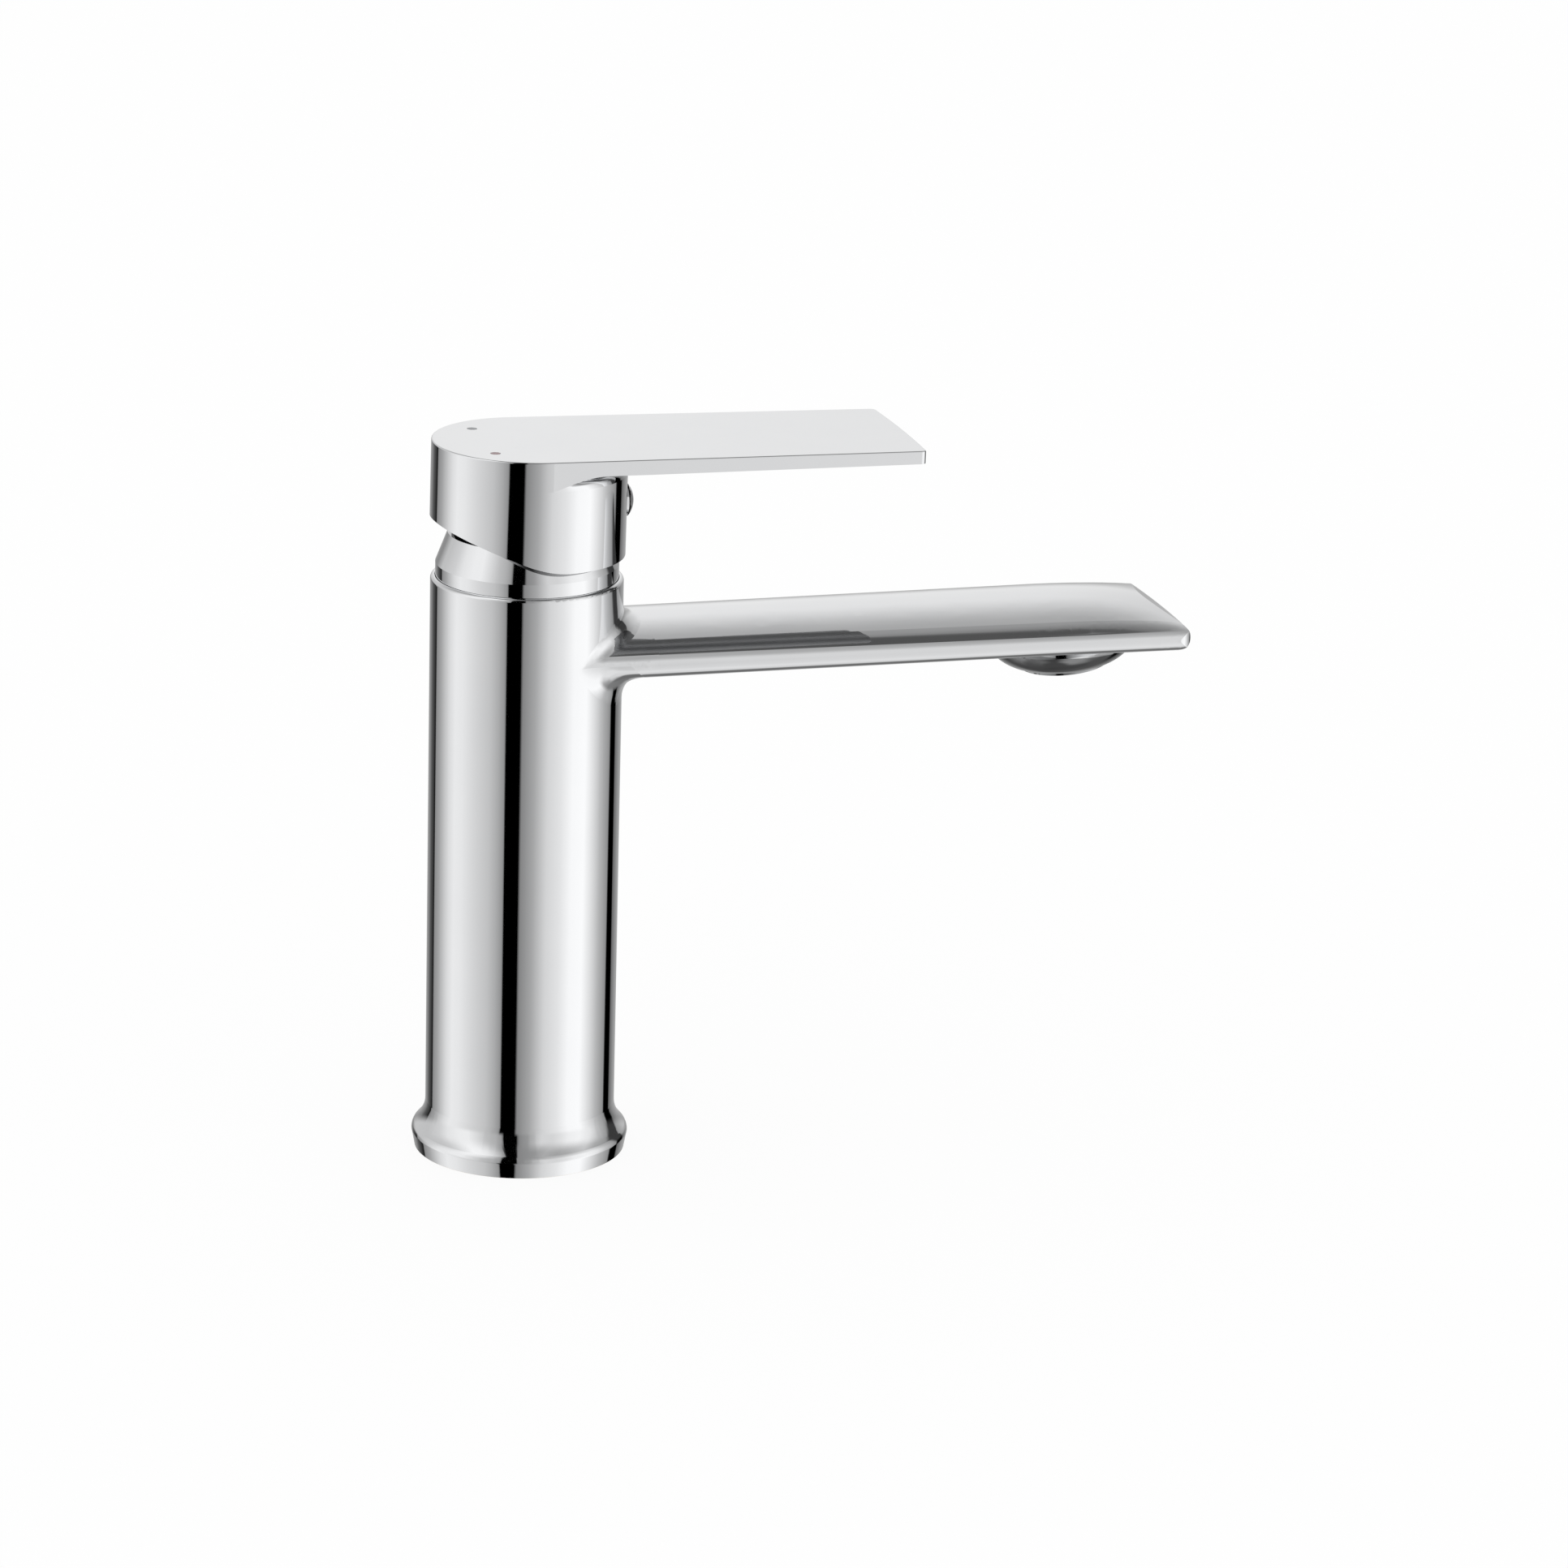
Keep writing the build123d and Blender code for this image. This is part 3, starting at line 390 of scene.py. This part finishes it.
# Shroud ring: a thin white nylon washer in the step of the rim. It keeps the shroud off the plate, and
# shows as a pale line between the two.
nylon = finish("nylon", dark=(0.78, 0.78, 0.76, 1), light=(0.88, 0.88, 0.86, 1), roughness=(0.3, 0.45),
               grain=2400, depth=8e-6)
dress("shroud_ring", nylon)


# Shroud: a cone turned from brass, then polished and plated like the body. It is screwed on the upper
# turns of the nut's thread.
dress("shroud", chrome_plate("chromed_shroud"))


# Handle: the skirt and the flat lever, one zinc die casting. It is polished and plated outside. The plate
# is duller on the lever's underside and darkened there with painted shade, and inside the skirt the casting
# shows its grey skin.
ZINC_DARK = (0.36, 0.37, 0.38, 1)
ZINC_LIGHT = (0.50, 0.51, 0.52, 1)
UNDER_SHADE_DARK = (0.385, 0.388, 0.392, 1)
UNDER_SHADE_LIGHT = (0.405, 0.408, 0.412, 1)
faces_down = (-1.1, -0.85)      # -1 is straight down
under_roughness = 0.30
skirt_inside = 0.0217
skirt_plated = 0.1580
skirt_roof = 0.1682
skin_roughness = 0.42
handle_plate = chrome_plate("chromed_zinc")
tree = handle_plate.node_tree
facing = add(tree, "ShaderNodeSeparateXYZ", {0: tree.nodes["Texture Coordinate"].outputs["Normal"]})
underside_shade = within(tree, facing.outputs["Z"], *faces_down)
# Painted shade: the faces that point down get a darker plate.
bare_metal_or_painted_shade(handle_plate, underside_shade, UNDER_SHADE_DARK, UNDER_SHADE_LIGHT, under_roughness)
hollow = both(tree, within(tree, from_axis(tree), 0, skirt_inside),
              within(tree, spot_in(tree)["Z"], skirt_plated, skirt_roof))
bare_metal_or_painted_shade(handle_plate, hollow, ZINC_DARK, ZINC_LIGHT, skin_roughness)
dress("handle", handle_plate)


# Set screw and plug: a stainless grub screw clamps the handle on the stem, and a plated plastic plug
# closes the hole over it. A fine dark band of painted shade runs round the plug where it meets the skirt,
# standing in for a groove.
GROOVE_SHADE_DARK = grey(0.02)
GROOVE_SHADE_LIGHT = grey(0.04)
groove_depth = 0.0016           # back from the plug's face
groove_half = 0.0002
groove_roughness = 0.4
screw_steel = finish("screw_steel", STEEL_DARK, STEEL_LIGHT, roughness=(0.25, 0.4), grain=3000, depth=4e-6,
                     metal=1.0)
dress("set_screw", screw_steel)
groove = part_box("plug_cap")[1][0] - groove_depth
plug_plate = finish("chromed_plastic", PLATE_DARK, PLATE_LIGHT, roughness=(0.04, 0.09), grain=1200,
                    depth=2e-6, metal=1.0)
tree = plug_plate.node_tree
groove_shade = within(tree, spot_in(tree)["X"], groove - groove_half, groove + groove_half)
# Painted shade of the groove: a near-black band round the plug.
bare_metal_or_painted_shade(plug_plate, groove_shade, GROOVE_SHADE_DARK, GROOVE_SHADE_LIGHT, groove_roughness)
dress("plug_cap", plug_plate)


# Temperature marks: two drops of baked enamel in the lever's top, a dull red one on the hot side and a
# slate blue one on the cold side.
red_enamel = finish("red_enamel", dark=(0.19, 0.10, 0.11, 1), light=(0.22, 0.12, 0.13, 1),
                    roughness=(0.15, 0.3), grain=5000, depth=4e-6)
dress("hot_dot", red_enamel)
blue_enamel = finish("blue_enamel", dark=(0.15, 0.155, 0.17, 1), light=(0.18, 0.19, 0.205, 1),
                     roughness=(0.15, 0.3), grain=5000, depth=4e-6)
dress("cold_dot", blue_enamel)


# Aerator: a plated brass sleeve, its plate darkened with painted shade, screwed into the bowl. It
# holds a pale plastic honeycomb core, a pierced strainer over it and a rubber washer on top.
shade_darkened_chrome = finish("shade_darkened_chrome", dark=(0.34, 0.345, 0.35, 1), light=(0.42, 0.425, 0.43, 1),
                       roughness=(0.08, 0.16), grain=1200, depth=2e-6, metal=1.0)
dress("aerator_sleeve", shade_darkened_chrome)
core_plastic = finish("core_plastic", dark=(0.74, 0.76, 0.77, 1), light=(0.86, 0.87, 0.88, 1),
                      roughness=(0.3, 0.45), grain=3000, depth=8e-6)
dress("aerator_core", core_plastic)
screen_steel = finish("screen_steel", STEEL_DARK, STEEL_LIGHT, roughness=(0.2, 0.35), grain=4000, depth=3e-6,
                      metal=1.0)
dress("aerator_screen", screen_steel)
washer_rubber = finish("washer_rubber", RUBBER_DARK, RUBBER_LIGHT, roughness=(0.42, 0.6), grain=2600,
                       depth=1e-5)
dress("aerator_gasket", washer_rubber)
